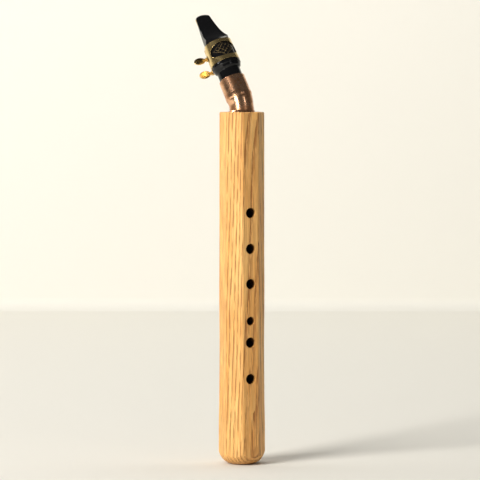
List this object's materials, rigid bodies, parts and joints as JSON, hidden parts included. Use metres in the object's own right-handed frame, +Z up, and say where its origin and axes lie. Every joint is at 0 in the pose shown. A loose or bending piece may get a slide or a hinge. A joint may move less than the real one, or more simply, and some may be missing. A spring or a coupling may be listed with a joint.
{
  "type": "pocket saxophone",
  "caption": "Small single-reed wind instrument: octagonal oak body with finger holes, copper elbow neck, black mouthpiece with cane reed and two-screw ligature.",
  "frame": {"origin": "middle of the bounding box's floor, with the instrument standing on its foot", "axes": "+Z up along the oak body; the finger holes face -Y; at rest the neck leans towards +Y turned 20 degrees to -X"},
  "size_m": [0.0474, 0.0772, 0.411],
  "materials": {
    "oak": "oiled, open grain",
    "copper": null,
    "cork": null,
    "ebonite": "polished black",
    "cane": "scraped cane",
    "brass": "lacquered"
  },
  "bodies": {
    "body": {"oak_body": "oak"},
    "neck": {"neck_elbow": "copper", "neck_cork": "cork"},
    "tenon": {"tenon_cork": "cork"},
    "mouthpiece": {"mouthpiece": "ebonite"},
    "reed": {"reed": "cane"},
    "ligature": {"ligature_band": "brass", "upper_plain_lug": "brass", "upper_threaded_lug": "brass", "lower_plain_lug": "brass", "lower_threaded_lug": "brass"},
    "upper_screw": {"upper_screw": "brass"},
    "lower_screw": {"lower_screw": "brass"}
  },
  "joints": [
    {"name": "neck_swivel", "type": "hinge", "parent": "body", "child": "neck", "pos_m": [0.00385, -0.01876, 0.322], "axis": [0, 0, 1], "continuous": true},
    {"name": "tuning_slide", "type": "slide", "parent": "neck", "child": "tenon", "axis": [-0.171, 0.4698, 0.866], "range_m": [-0.006, 0.007]},
    {"name": "mouthpiece_twist", "type": "hinge", "parent": "tenon", "child": "mouthpiece", "pos_m": [-0.00062, -0.00649, 0.35164], "axis": [-0.171, 0.4698, 0.866], "continuous": true},
    {"name": "reed_slide", "type": "slide", "parent": "mouthpiece", "child": "reed", "axis": [-0.171, 0.4698, 0.866], "range_m": [-0.001, 0.0015]},
    {"name": "ligature_slide", "type": "slide", "parent": "mouthpiece", "child": "ligature", "axis": [-0.171, 0.4698, 0.866], "range_m": [0, 0.027]},
    {"name": "upper_screw_turn", "type": "hinge", "parent": "ligature", "child": "upper_screw", "pos_m": [-0.00313, 0.02484, 0.37133], "axis": [-0.9717, 0.0647, -0.227], "continuous": true},
    {"name": "lower_screw_turn", "type": "hinge", "parent": "ligature", "child": "lower_screw", "pos_m": [-0.0007, 0.01817, 0.35903], "axis": [-0.9717, 0.0647, -0.227], "continuous": true}
  ]
}
